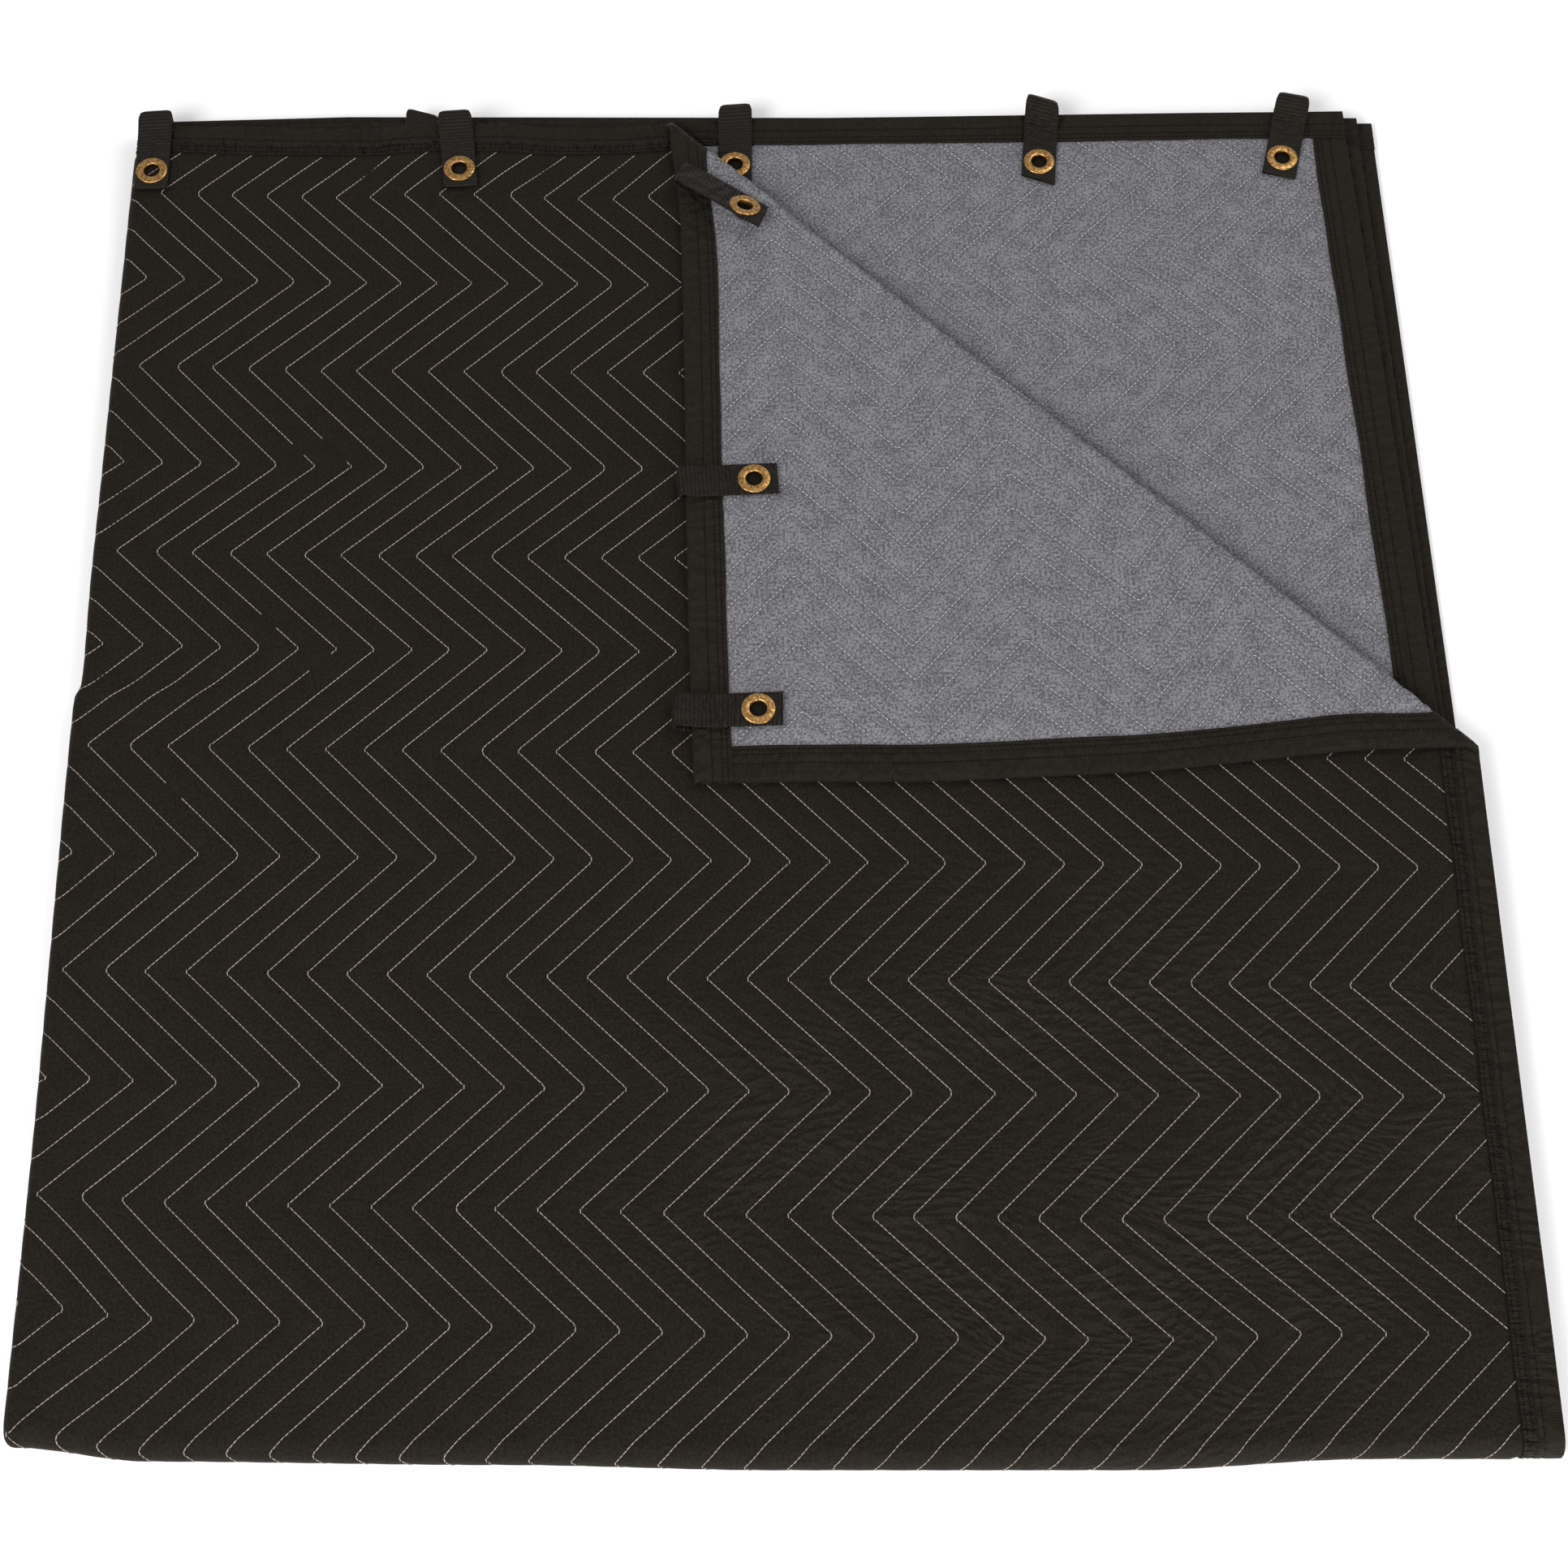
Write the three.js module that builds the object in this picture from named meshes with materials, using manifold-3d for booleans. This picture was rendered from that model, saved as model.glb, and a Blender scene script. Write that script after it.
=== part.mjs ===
// A quilted industrial blanket, folded in quarters and lying flat, with the back right corner of its
// top layer turned over. Millimetres, +Z up. The black face is outside, the grey face inside.
// The whole blanket is described on its flat sheet (u across, v along, w through the cloth, black
// side up), and sheetPoint carries each point of the sheet to where the folds leave it.

import * as THREE from "three";
import { mergeVertices } from "three/addons/utils/BufferGeometryUtils.js";
import Module from "manifold-3d";

const wasm = await Module();
wasm.setup();

// The flat blanket: 72 in by 78 in, quilted, thinner where the binding squeezes it
const blanket = { width: 1828.8, length: 1981.2, thickness: 5.4, sewnThickness: 2.6 };
const binding = { width: 25.4, tape: 0.9, taper: 5.3 };
const gap = 0.3; // between pieces that touch
const onLine = 0.02; // a corner this near a cut is taken to lie on it

// The folds: A along the left edge, B along the front edge, then the crease of the turned corner
const layerPitch = 6.3; // from one layer's middle to the next
const foldA = { u: -4, slant: 0.0207, segments: 4 };
const foldB = { v: 4 };
const crease = { backEnd: [369.4, 972.2], rightEnd: [908.8, 450.5], radius: 5, segments: 8, settle: 70 };

// How far each layer's corners lie from a square fold, as [right, back]
const layerCorners = {
  top: { leftBack: [0, -5], rightFront: [1, 0], rightBack: [3, 3] },
  second: { leftBack: [0, -5], rightFront: [4, 0], rightBack: [12, 9] },
  third: { leftBack: [5, 0], rightFront: [4, 0], rightBack: [24, -1] },
  bottom: { leftBack: [5, 0], rightFront: [1, 0], rightBack: [-13, 9] },
};
const cornerSpan = { x: 915, y: 970 };

// How far the front fold lies behind a straight line, and the left fold right of one
const frontEdge = [
  { at: 0, shift: 13 },
  { at: 80, shift: 5 },
  { at: 290, shift: 3 },
  { at: 450, shift: 0 },
  { at: 660, shift: 0 },
  { at: 800, shift: 6.5 },
];
const leftEdge = [
  { at: 0, shift: 0 },
  { at: 150, shift: 0 },
  { at: 494, shift: -3.6 },
  { at: 508, shift: 0.6 },
  { at: 600, shift: -1 },
];
const frontReach = 300; // the front edge's waves die out over this depth
const leftReach = 140;

// The top layer lifts over the two loops that lie under it along its back edge
const lumps = [
  { x: 216, flat: 28, slope: 47, depth: 72, run: 52, height: 4.6 },
  { x: 405, flat: 35, slope: 40, depth: 64, run: 45, height: 3.4 },
];
const lumpBack = 976;

// Hanging loops along the blanket's top edge: place on the sheet, turn about their root, reach past
// the edge, height of the bend there, height at rest, and how far back over the cloth they lie
const loops = [
  { name: "loop_1_left_fold", u: -10, turn: 2, reach: 9, rise: 8, rest: 4.9, back: 62 },
  { name: "loop_2_top_layer", u: 212, turn: 7, reach: 9, rise: 8, rest: 4.9, back: 61 },
  { name: "loop_3_trapped", u: -233, turn: 0, reach: 8, rise: 4.9, rest: 4.9, back: 62 },
  { name: "loop_4_second_layer", u: -464, turn: -2, reach: 9, rise: 9, rest: 4.9, back: 63 },
  { name: "loop_5_second_layer", u: -691, turn: -6, reach: 10, rise: 12, rest: 4.9, back: 63 },
  { name: "loop_6_second_layer", u: -876, turn: -12, reach: 11, rise: 11, rest: 4.9, back: 61 },
  { name: "loop_7_turned_corner", u: 444, turn: -24, reach: 12.5, rise: 11.5, rest: 8.4, back: 73 },
  { name: "loop_8_turned_corner", u: 686, turn: 0, reach: 5, rise: 6.5, rest: 4.9, back: 64 },
  { name: "loop_9_turned_corner", u: 864, turn: 1, reach: 12, rise: 9, rest: 4.9, back: 61 },
];
const strap = { width: 25, thickness: 1.6, touchDown: 16, bendSteps: 6 };
const grommet = { hole: 5.3, barrel: 6.2, flange: 11.9, fromEnd: 16.5, edge: 0.7, crown: 1, sides: 16 };

const halfWidth = blanket.width / 2;
const halfLength = blanket.length / 2;
const footLift = layerPitch * 1.5 + blanket.thickness / 2; // fold B's axis above the surface
const frontReachOut = footLift - 6; // fold B's axis behind the plan's own front line
const leftReachOut = 2.4; // fold A's axis right of the front left corner
const planCentre = [446.98, 501.67]; // puts the whole blanket's box about the origin

const colours = { black: 0x24201d, tape: 0x1b1917, webbing: 0x161514, brass: 0xb08a45 };

// Smooth ramp from 0 to 1
function ease(t) {
  const c = Math.min(1, Math.max(0, t));
  return c * c * (3 - 2 * c);
}

// Value at a place along an edge, eased between the rows of its table
function edgeShift(table, at) {
  const next = table.findIndex((row) => row.at >= at);
  if (next === 0) return table[0].shift;
  if (next < 0) return table.at(-1).shift;
  const [a, b] = [table[next - 1], table[next]];
  return a.shift + (b.shift - a.shift) * ease((at - a.at) / (b.at - a.at));
}

// A sheet turned back on itself over a half circle: where a distance from the fold line ends up
function halfTurn(distance, radius) {
  const quarter = (Math.PI / 2) * radius;
  const side = Math.sign(distance);
  if (Math.abs(distance) >= quarter)
    return { along: Math.abs(distance) - quarter, across: side * radius, tilt: [0, side] };
  const angle = distance / radius;
  const tilt = [-Math.cos(angle), Math.sin(angle)];
  return { along: radius * tilt[0], across: radius * tilt[1], tilt };
}

// The crease's own line: its direction, its normal toward the corner and where its bend starts
const creaseRun = [0, 1].map((k) => crease.rightEnd[k] - crease.backEnd[k]);
const creaseLength = Math.hypot(...creaseRun);
const creaseNormal = [-creaseRun[1] / creaseLength, creaseRun[0] / creaseLength];
const creaseArc = Math.PI * crease.radius;
const creaseStart = -(crease.radius + blanket.thickness / 2);

function pastCrease(x, y) {
  const [dx, dy] = [x - crease.backEnd[0], y - crease.backEnd[1]];
  return dx * creaseNormal[0] + dy * creaseNormal[1] - creaseStart;
}

// Rolls the top layer's corner over the crease and lays it back on the layer
function rollCorner(x, y, z, w) {
  const past = pastCrease(x, y);
  if (past <= 0) return [x, y, z + w];
  const angle = Math.min(past / crease.radius, Math.PI);
  const beyond = Math.max(0, past - creaseArc);
  const step = (crease.radius - w) * Math.sin(angle) - beyond - past;
  const sink = (2 * crease.radius - layerPitch) * ease(beyond / crease.settle);
  const rise = crease.radius * (1 - Math.cos(angle)) + w * Math.cos(angle) - sink;
  return [x + creaseNormal[0] * step, y + creaseNormal[1] * step, z + rise];
}

// How much the top layer is lifted over the loops under it
function lumpHeight(x, y) {
  const heights = lumps.map((lump) => {
    const side = 1 - (Math.abs(x - lump.x) - lump.flat) / lump.slope;
    const back = 1 - (lumpBack - lump.depth - y) / lump.run;
    return lump.height * ease(side) * ease(back);
  });
  return Math.max(...heights);
}

// The unevenness in plan: each layer's own corners, then the waves of the front and left edges
function settleInPlan(x, y, corners) {
  const [cx, cy] = [Math.max(0, x / cornerSpan.x), Math.max(0, y / cornerSpan.y)];
  const shift = [0, 1].map(
    (k) =>
      corners.leftBack[k] * (1 - cx) * cy +
      corners.rightFront[k] * cx * (1 - cy) +
      corners.rightBack[k] * cx * cy,
  );
  shift[1] += edgeShift(frontEdge, x) * (1 - ease(y / frontReach));
  shift[0] += edgeShift(leftEdge, y) * (1 - ease(x / leftReach));
  return [x + shift[0], y + shift[1]];
}

// From the flat sheet to the folded blanket
function sheetPoint(u, v, w) {
  const t = v - foldB.v;
  const s = u - foldA.u + foldA.slant * Math.abs(t);
  const across = halfTurn(s, layerPitch / 2);
  const radius = layerPitch + across.across;
  const along = halfTurn(t, radius);
  let x = across.along + w * across.tilt[0] - foldA.slant * Math.abs(t);
  let y = along.along + w * across.tilt[1] * along.tilt[0];
  let z = along.across + w * across.tilt[1] * along.tilt[1];
  const near = 1 - Math.min(1, Math.max(0, across.along / leftReach));
  if (along.along > 0)
    y += near * (Math.PI / 2) * across.across * (along.along / cornerSpan.y);
  const top = s > 0 && t > 0;
  if (top && across.along > 0 && along.along > 0) {
    [x, y, z] = rollCorner(x, y, z - w, w);
    z += lumpHeight(x, y);
  }
  const layer = t > 0 ? (s > 0 ? "top" : "second") : s > 0 ? "bottom" : "third";
  [x, y] = settleInPlan(x, y, layerCorners[layer]);
  return [x + leftReachOut - planCentre[0], y + frontReachOut - planCentre[1], z + footLift];
}

// Cuts convex cells of the flat sheet along the line a u + b v = c, with corners near it left on it
function cut(cells, a, b, c) {
  return cells.flatMap((cell) => {
    const height = cell.map(([u, v]) => a * u + b * v - c).map((h) => (Math.abs(h) < onLine ? 0 : h));
    if (height.every((h) => h >= 0) || height.every((h) => h <= 0)) return [cell];
    const [low, high] = [[], []];
    cell.forEach((corner, i) => {
      const next = (i + 1) % cell.length;
      if (height[i] <= 0) low.push(corner);
      if (height[i] >= 0) high.push(corner);
      if (height[i] * height[next] < 0) {
        const k = height[i] / (height[i] - height[next]);
        const met = [0, 1].map((n) => corner[n] + k * (cell[next][n] - corner[n]));
        low.push(met);
        high.push(met);
      }
    });
    return [low, high];
  });
}

function steps(from, to, count) {
  return Array.from({ length: count + 1 }, (_, i) => from + ((to - from) * i) / count);
}

// Cells of a rectangle of the sheet, cut where the folds bend and where the unevenness changes
function sheetCells(u0, u1, v0, v1, edgeLines) {
  const outer = (Math.PI / 2) * layerPitch * 1.5;
  const inner = (Math.PI / 2) * layerPitch * 0.5;
  const frontLines = [0, inner / 2, inner, inner + (outer - inner) / 2, outer];
  const depths = [frontReach / 2, frontReach, ...leftEdge.slice(1).map((row) => row.at)];
  const lumpSides = lumps.flatMap(({ x, flat, slope }) => [flat, flat + slope].flatMap((d) => [x - d, x + d]));
  const lumpDepths = lumps.flatMap(({ depth, run }) => [lumpBack - depth, lumpBack - depth - run]);
  return [1, -1].flatMap((half) => {
    const [low, high] = half > 0 ? [Math.max(v0, foldB.v), v1] : [v0, Math.min(v1, foldB.v)];
    if (low >= high) return [];
    let cells = [
      [
        [u0, low],
        [u1, low],
        [u1, high],
        [u0, high],
      ],
    ];
    for (const s of steps(-inner, inner, foldA.segments))
      cells = cut(cells, 1, half * foldA.slant, foldA.u + s + half * foldA.slant * foldB.v);
    for (const side of [1, -1])
      for (const row of frontEdge.slice(1)) cells = cut(cells, 1, 0, foldA.u + side * (inner + row.at));
    const rows = [...frontLines, ...depths.map((y) => y + outer)];
    for (const t of rows) cells = cut(cells, 0, 1, foldB.v + half * t);
    for (const x of lumpSides) cells = cut(cells, 1, 0, foldA.u + inner + x);
    if (half > 0) {
      for (const y of lumpDepths) cells = cut(cells, 0, 1, foldB.v + outer + y);
      const turns = steps(0, creaseArc, crease.segments);
      turns.push(creaseArc + crease.settle / 2, creaseArc + crease.settle);
      const [nu, nv] = creaseNormal;
      const base = pastCrease(-foldA.u - inner, -foldB.v - outer);
      for (const past of turns) cells = cut(cells, nu, nv, past - base);
    }
    for (const u of edgeLines.u) cells = cut(cells, 1, 0, u);
    for (const v of edgeLines.v) cells = cut(cells, 0, 1, v);
    return cells;
  });
}

// A closed solid over some cells, built of blocks between levels in the cloth. A cell may leave
// blocks out, and the faces that two blocks would share aren't made.
function solidOverCells(cells, levels, isFilled = () => true) {
  const positions = [];
  const put = (...points) => points.forEach((p) => positions.push(...p));
  const key = ([u, v]) => `${u.toFixed(4)},${v.toFixed(4)}`;
  const rims = new Map();
  for (const cell of cells) {
    const first = cell.reduce((best, p, i) => (p[0] + p[1] < cell[best][0] + cell[best][1] ? i : best), 0);
    const ring = [...cell.slice(first), ...cell.slice(0, first)];
    const rows = levels.map((level) => ring.map(([u, v]) => sheetPoint(u, v, level(u, v))));
    for (let k = 0; k + 1 < levels.length; k += 1) {
      if (!isFilled(cell, k)) continue;
      const [bottom, top] = [rows[k], rows[k + 1]];
      for (let i = 1; i + 1 < ring.length; i += 1) {
        if (k + 2 === levels.length || !isFilled(cell, k + 1)) put(top[0], top[i], top[i + 1]);
        if (k === 0 || !isFilled(cell, k - 1)) put(bottom[0], bottom[i + 1], bottom[i]);
      }
      ring.forEach((p, i) => {
        const next = (i + 1) % ring.length;
        const shared = `${key(ring[next])}|${key(p)}|${k}`;
        if (rims.has(shared)) rims.delete(shared);
        else rims.set(`${key(p)}|${key(ring[next])}|${k}`, [bottom[i], bottom[next], top[next], top[i]]);
      });
    }
  }
  for (const [a, b, c, d] of rims.values()) put(a, b, c, a, c, d);
  const attribute = new THREE.Float32BufferAttribute(positions, 3);
  return new THREE.BufferGeometry().setAttribute("position", attribute);
}

// Between three.js geometry and a solid that can be cut and joined
function toSolid(geometry) {
  const bare = geometry.index ? geometry.toNonIndexed() : geometry.clone();
  bare.deleteAttribute("normal");
  bare.deleteAttribute("uv");
  const merged = mergeVertices(bare, 1e-4);
  return new wasm.Manifold(
    new wasm.Mesh({
      numProp: 3,
      vertProperties: merged.attributes.position.array,
      triVerts: new Uint32Array(merged.index.array),
    }),
  );
}

function toGeometry(solid) {
  const mesh = solid.getMesh();
  const geometry = new THREE.BufferGeometry();
  geometry.setAttribute("position", new THREE.BufferAttribute(mesh.vertProperties, 3));
  geometry.setIndex(new THREE.BufferAttribute(mesh.triVerts, 1));
  return geometry;
}

function piece(name, geometry, colour, roughness, metalness = 0) {
  geometry.computeVertexNormals();
  const material = new THREE.MeshStandardMaterial({ color: colour, roughness, metalness });
  const mesh = new THREE.Mesh(geometry, material);
  mesh.name = name;
  return mesh;
}

// The quilted cloth itself, one piece, squeezed thin under the binding
function quiltedCloth() {
  const inset = binding.tape + 2 * gap;
  const [flatIn, thinIn] = [binding.width + gap + binding.taper, binding.width + gap];
  const edgeIn = (u, v) => Math.min(halfWidth - Math.abs(u), halfLength - Math.abs(v));
  const half = (u, v) => {
    const k = Math.min(1, Math.max(0, (edgeIn(u, v) - thinIn) / binding.taper));
    return (blanket.sewnThickness + (blanket.thickness - blanket.sewnThickness) * k) / 2;
  };
  const [w, l] = [halfWidth - inset, halfLength - inset];
  const edgeLines = {
    u: [flatIn, thinIn].flatMap((d) => [halfWidth - d, d - halfWidth]),
    v: [flatIn, thinIn].flatMap((d) => [halfLength - d, d - halfLength]),
  };
  const cells = sheetCells(-w, w, -l, l, edgeLines);
  return solidOverCells(cells, [(u, v) => -half(u, v), half]);
}

// One length of binding tape: a U over the edge of the cloth, filled through only at its back
function bindingTape(u0, u1, v0, v1) {
  const inside = blanket.sewnThickness / 2 + gap;
  const outside = inside + binding.tape;
  const [backU, backV] = [halfWidth - binding.tape, halfLength - binding.tape];
  const cells = sheetCells(u0, u1, v0, v1, { u: [backU, -backU], v: [backV, -backV] });
  const middle = (cell, k) => Math.abs(cell.reduce((sum, p) => sum + p[k], 0) / cell.length);
  const isBack = (cell) => middle(cell, 0) > backU || middle(cell, 1) > backV;
  const levels = [-outside, -inside, inside, outside].map((w) => () => w);
  return solidOverCells(cells, levels, (cell, block) => block !== 1 || isBack(cell));
}

// The hanging loop's side view: out from the edge, over, and back along the cloth
function loopPath({ reach, rise, turn, rest, back }) {
  const radius = rise / 2;
  const skew = Math.abs(Math.sin(THREE.MathUtils.degToRad(turn)));
  const root = 2 * gap + (strap.width / 2 + strap.thickness) * skew;
  const bend = steps(-Math.PI / 2, Math.PI / 2, strap.bendSteps).map((angle) => [
    reach - radius + radius * Math.cos(angle),
    radius + radius * Math.sin(angle),
  ]);
  return [[root, 0], ...bend, [-strap.touchDown, rest], [-back, rest]];
}

// A flat band of even thickness along a path
function bandShape(path) {
  const side = (offset) =>
    path.map((p, i) => {
      const [before, after] = [path[Math.max(0, i - 1)], path[Math.min(path.length - 1, i + 1)]];
      const d = new THREE.Vector2(after[0] - before[0], after[1] - before[1]).normalize();
      return new THREE.Vector2(p[0] - d.y * offset, p[1] + d.x * offset);
    });
  const half = strap.thickness / 2;
  return new THREE.Shape([...side(-half), ...side(half).reverse()]);
}

// The strap, with the hole for its grommet
function loopStrap(loop) {
  const band = new THREE.ExtrudeGeometry(bandShape(loopPath(loop)), {
    depth: strap.width,
    bevelEnabled: false,
  });
  band.translate(0, 0, -strap.width / 2);
  const hole = new THREE.CylinderGeometry(
    grommet.barrel + gap,
    grommet.barrel + gap,
    strap.thickness * 2,
    grommet.sides,
  );
  hole.translate(grommetPlace(loop), loop.rest, 0);
  return toGeometry(toSolid(band).subtract(toSolid(hole)));
}

function grommetPlace(loop) {
  return grommet.fromEnd - loop.back;
}

// A brass grommet: a barrel with a flange each side of the strap
function grommetRing() {
  const seat = strap.thickness / 2 + gap;
  const profile = [
    [grommet.hole, -seat - grommet.edge],
    [grommet.flange, -seat - grommet.edge],
    [grommet.flange, -seat],
    [grommet.barrel, -seat],
    [grommet.barrel, seat],
    [grommet.flange, seat],
    [(grommet.hole + grommet.flange) / 2, seat + grommet.crown],
    [grommet.hole, seat + grommet.edge / 2],
    [grommet.hole, -seat - grommet.edge],
  ].map(([r, y]) => new THREE.Vector2(r, y));
  return new THREE.LatheGeometry(profile, grommet.sides);
}

// A loop's own frame at its root on the top edge: x out of the edge, y off the face it lies on
function loopFrame(loop) {
  const at = (u, v) => new THREE.Vector3(...sheetPoint(u, v, 0));
  const root = at(loop.u, halfLength);
  const out = root.clone().sub(at(loop.u, halfLength - loop.back)).setZ(0).normalize();
  const up = new THREE.Vector3(0, 0, 1);
  const side = new THREE.Vector3().crossVectors(out, up);
  const frame = new THREE.Group();
  frame.matrix.makeBasis(out, up, side).setPosition(root);
  frame.matrix.decompose(frame.position, frame.quaternion, frame.scale);
  frame.rotateY(THREE.MathUtils.degToRad(loop.turn));
  return frame;
}

function hangingLoop(loop) {
  const frame = loopFrame(loop);
  frame.add(piece(loop.name, loopStrap(loop), colours.webbing, 0.8));
  const ring = piece(loop.name.replace("loop", "grommet"), grommetRing(), colours.brass, 0.35, 1);
  ring.position.set(grommetPlace(loop), loop.rest, 0);
  frame.add(ring);
  return frame;
}

const group = new THREE.Group();
group.add(piece("quilted_cloth", quiltedCloth(), colours.black, 0.9));
const [innerU, innerV] = [halfWidth - binding.width, halfLength - binding.width];
const sideEnd = innerV - gap;
const tapes = [
  { name: "binding_top_edge", box: [-halfWidth, halfWidth, innerV, halfLength] },
  { name: "binding_bottom_edge", box: [-halfWidth, halfWidth, -halfLength, -innerV] },
  { name: "binding_right_edge", box: [innerU, halfWidth, -sideEnd, sideEnd] },
  { name: "binding_left_edge", box: [-halfWidth, -innerU, -sideEnd, sideEnd] },
];
for (const tape of tapes) group.add(piece(tape.name, bindingTape(...tape.box), colours.tape, 0.7));
for (const loop of loops) group.add(hangingLoop(loop));

export default group;
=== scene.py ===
import bpy
import bmesh
import math
from bisect import bisect_right
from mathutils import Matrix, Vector, noise
from mathutils.interpolate import poly_3d_calc


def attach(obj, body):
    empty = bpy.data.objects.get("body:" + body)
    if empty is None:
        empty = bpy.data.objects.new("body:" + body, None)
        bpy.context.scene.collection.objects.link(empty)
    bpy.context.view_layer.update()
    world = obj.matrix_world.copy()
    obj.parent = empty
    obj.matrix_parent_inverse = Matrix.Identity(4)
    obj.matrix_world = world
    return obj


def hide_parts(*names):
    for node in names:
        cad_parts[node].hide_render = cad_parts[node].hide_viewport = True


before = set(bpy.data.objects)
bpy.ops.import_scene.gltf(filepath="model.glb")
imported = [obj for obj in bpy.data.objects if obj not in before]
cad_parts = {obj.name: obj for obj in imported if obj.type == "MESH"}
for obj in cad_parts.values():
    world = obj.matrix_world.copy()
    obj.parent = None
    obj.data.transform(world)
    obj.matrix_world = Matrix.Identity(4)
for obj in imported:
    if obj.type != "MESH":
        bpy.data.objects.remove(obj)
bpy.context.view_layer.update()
print("frame loaded")

# The blanket's own sizes, in mm, as in the CAD part: the sheet point (u, v, w) is across, along and
# through the flat cloth, black side up, from the middle of the blanket.
blanket = {
    "width": 1828.8,
    "length": 1981.2,
    "half": 2.7,           # half the thickness on the puffs
    "stitchedHalf": 1.7,   # half the thickness along a quilting line
    "sewnHalf": 1.3,       # half the thickness under the binding
    "puffReach": 7.5,      # how far from a line the cloth is full again
    "smoothFold": 16,      # how near a fold the cloth is pulled smooth
    "foldPinch": 0.25,     # share of the pinching that is left at a fold
}
fold = {
    "pitch": 6.3,                 # from one layer to the next
    "aAt": -4, "aSlant": 0.0207,  # the left fold's place across the sheet, and how it slants
    "bAt": 4,                     # the front fold's place along the sheet
    "creaseBack": (369.4, 972.2), "creaseRight": (908.8, 456.5),  # ends of the turned corner's crease
    "creaseRadius": 3.6, "creaseStart": -5.5, "creaseSettle": 70,
}
# How far the left back, right front and right back corners of each layer lie to the right and back
layerCorners = {
    "top": ((0, -5), (1, 0), (3, 3)),
    "second": ((0, -5), (4, 0), (12, 9)),
    "third": ((5, 0), (4, 0), (24, -1)),
    "bottom": ((5, 0), (1, 0), (-13, 9)),
}
cornerSpan = (915, 970)
# How the front and left edges wander: places along the edge, each with its shift
frontEdge = [(0, 13), (80, 5), (290, 3), (450, 0), (660, 0), (800, 6.5)]
leftEdge = [(0, 0), (150, 0), (494, -3.6), (508, 0.6), (600, -1)]
flapFront = [(387, -1.6), (445, -3), (560, -7.6), (670, -7.5), (860, 2)]  # how its front edge wanders
flap = {"right": 1, "rightBack": 4, "front": 520, "reach": 340, "ramp": 60}
frontReach = 300
leftReach = 140
lumps = [  # where the top layer is raised near its back edge
    {"x": 216, "flat": 28, "slope": 47, "depth": 72, "run": 52, "height": 4.6},
    {"x": 405, "flat": 35, "slope": 40, "depth": 64, "run": 45, "height": 3.4},
]
lumpBack = 976
footLift = 12.15
planShift = (2.4 - 446.98, 6.15 - 501.67)  # from the folded corner to the middle of the frame
halfWidth = blanket["width"] / 2
halfLength = blanket["length"] / 2

quilting = {
    "pitch": 25.4, "firstLine": 50.8, "swing": 78.7, "squareOn": 0.694,
    "drop": 0.014, "dropFrom": 50,
    "drift": -8.8, "driftDown": 3, "driftOver": 9,  # lines further apart past the left fold
    "turns": [12, 89.5, 163, 242, 316.5, 398, 475.7, 551.1, 624, 695.5, 775.5, 851.5, 928],
    "halfPeriod": 75.85, "beyondEdge": 40, "spareLines": (7, 4),
    "corner": 1, "roundCorner": 3.5, "roundEvery": 9, "wander": 0.8,  # needles that sew rounder corners
    "stitch": 3.4, "stitchLength": 3.9, "thread": 0.9, "threadLift": 0.15, "steps": 30,
    "greyStitchLength": 2.9, "greyThread": 1.05, "clearOfEyelet": 13,
    "underStitch": 5.1, "underStitchLength": 5.6,
    "fromBinding": 1, "tuckedUnder": 8,
    # where thread has broken away: line, turn from the front, and from and to as shares of a row
    "broken": [
        (1, 9, 0.05, 0.3), (0, 9, 0.1, 0.22), (0, 7, 0.2, 0.34), (1, 6, 0.78, 0.95), (-1, 5, 0.5, 0.64),
    ],
}


def ease(t):
    c = min(1, max(0, t))
    return c * c * (3 - 2 * c)


def edgeShift(table, at):
    if at <= table[0][0]:
        return table[0][1]
    for (at0, shift0), (at1, shift1) in zip(table, table[1:]):
        if at <= at1:
            return shift0 + (shift1 - shift0) * ease((at - at0) / (at1 - at0))
    return table[-1][1]


def halfTurn(distance, radius):
    quarter = math.pi / 2 * radius
    side = math.copysign(1, distance)
    if abs(distance) >= quarter:
        return abs(distance) - quarter, side * radius, (0, side)
    angle = distance / radius
    tilt = (-math.cos(angle), math.sin(angle))
    return radius * tilt[0], radius * tilt[1], tilt


creaseRun = Vector(fold["creaseRight"]) - Vector(fold["creaseBack"])
creaseNormal = Vector((-creaseRun.y, creaseRun.x)).normalized()
creaseArc = math.pi * fold["creaseRadius"]


def pastCrease(x, y):
    return (Vector((x, y)) - Vector(fold["creaseBack"])).dot(creaseNormal) - fold["creaseStart"]


def rollCorner(x, y, z, w):
    past = pastCrease(x, y)
    if past <= 0:
        return x, y, z + w
    radius = fold["creaseRadius"]
    angle = min(past / radius, math.pi)
    beyond = max(0, past - creaseArc)
    step = (radius - w) * math.sin(angle) - beyond - past
    sink = (2 * radius - fold["pitch"]) * ease(beyond / fold["creaseSettle"])
    rise = radius * (1 - math.cos(angle)) + w * math.cos(angle) - sink
    x, y = x + creaseNormal.x * step, y + creaseNormal.y * step
    loose = ease(beyond / flap["ramp"])
    toBack = ease((y - flap["front"]) / flap["reach"])
    x += loose * (flap["right"] + flap["rightBack"] * toBack)
    return x, y + loose * (1 - toBack) * edgeShift(flapFront, x), z + rise


def lumpHeight(x, y):
    heights = []
    for lump in lumps:
        side = 1 - (abs(x - lump["x"]) - lump["flat"]) / lump["slope"]
        back = 1 - (lumpBack - lump["depth"] - y) / lump["run"]
        heights.append(lump["height"] * ease(side) * ease(back))
    return max(heights)


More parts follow.
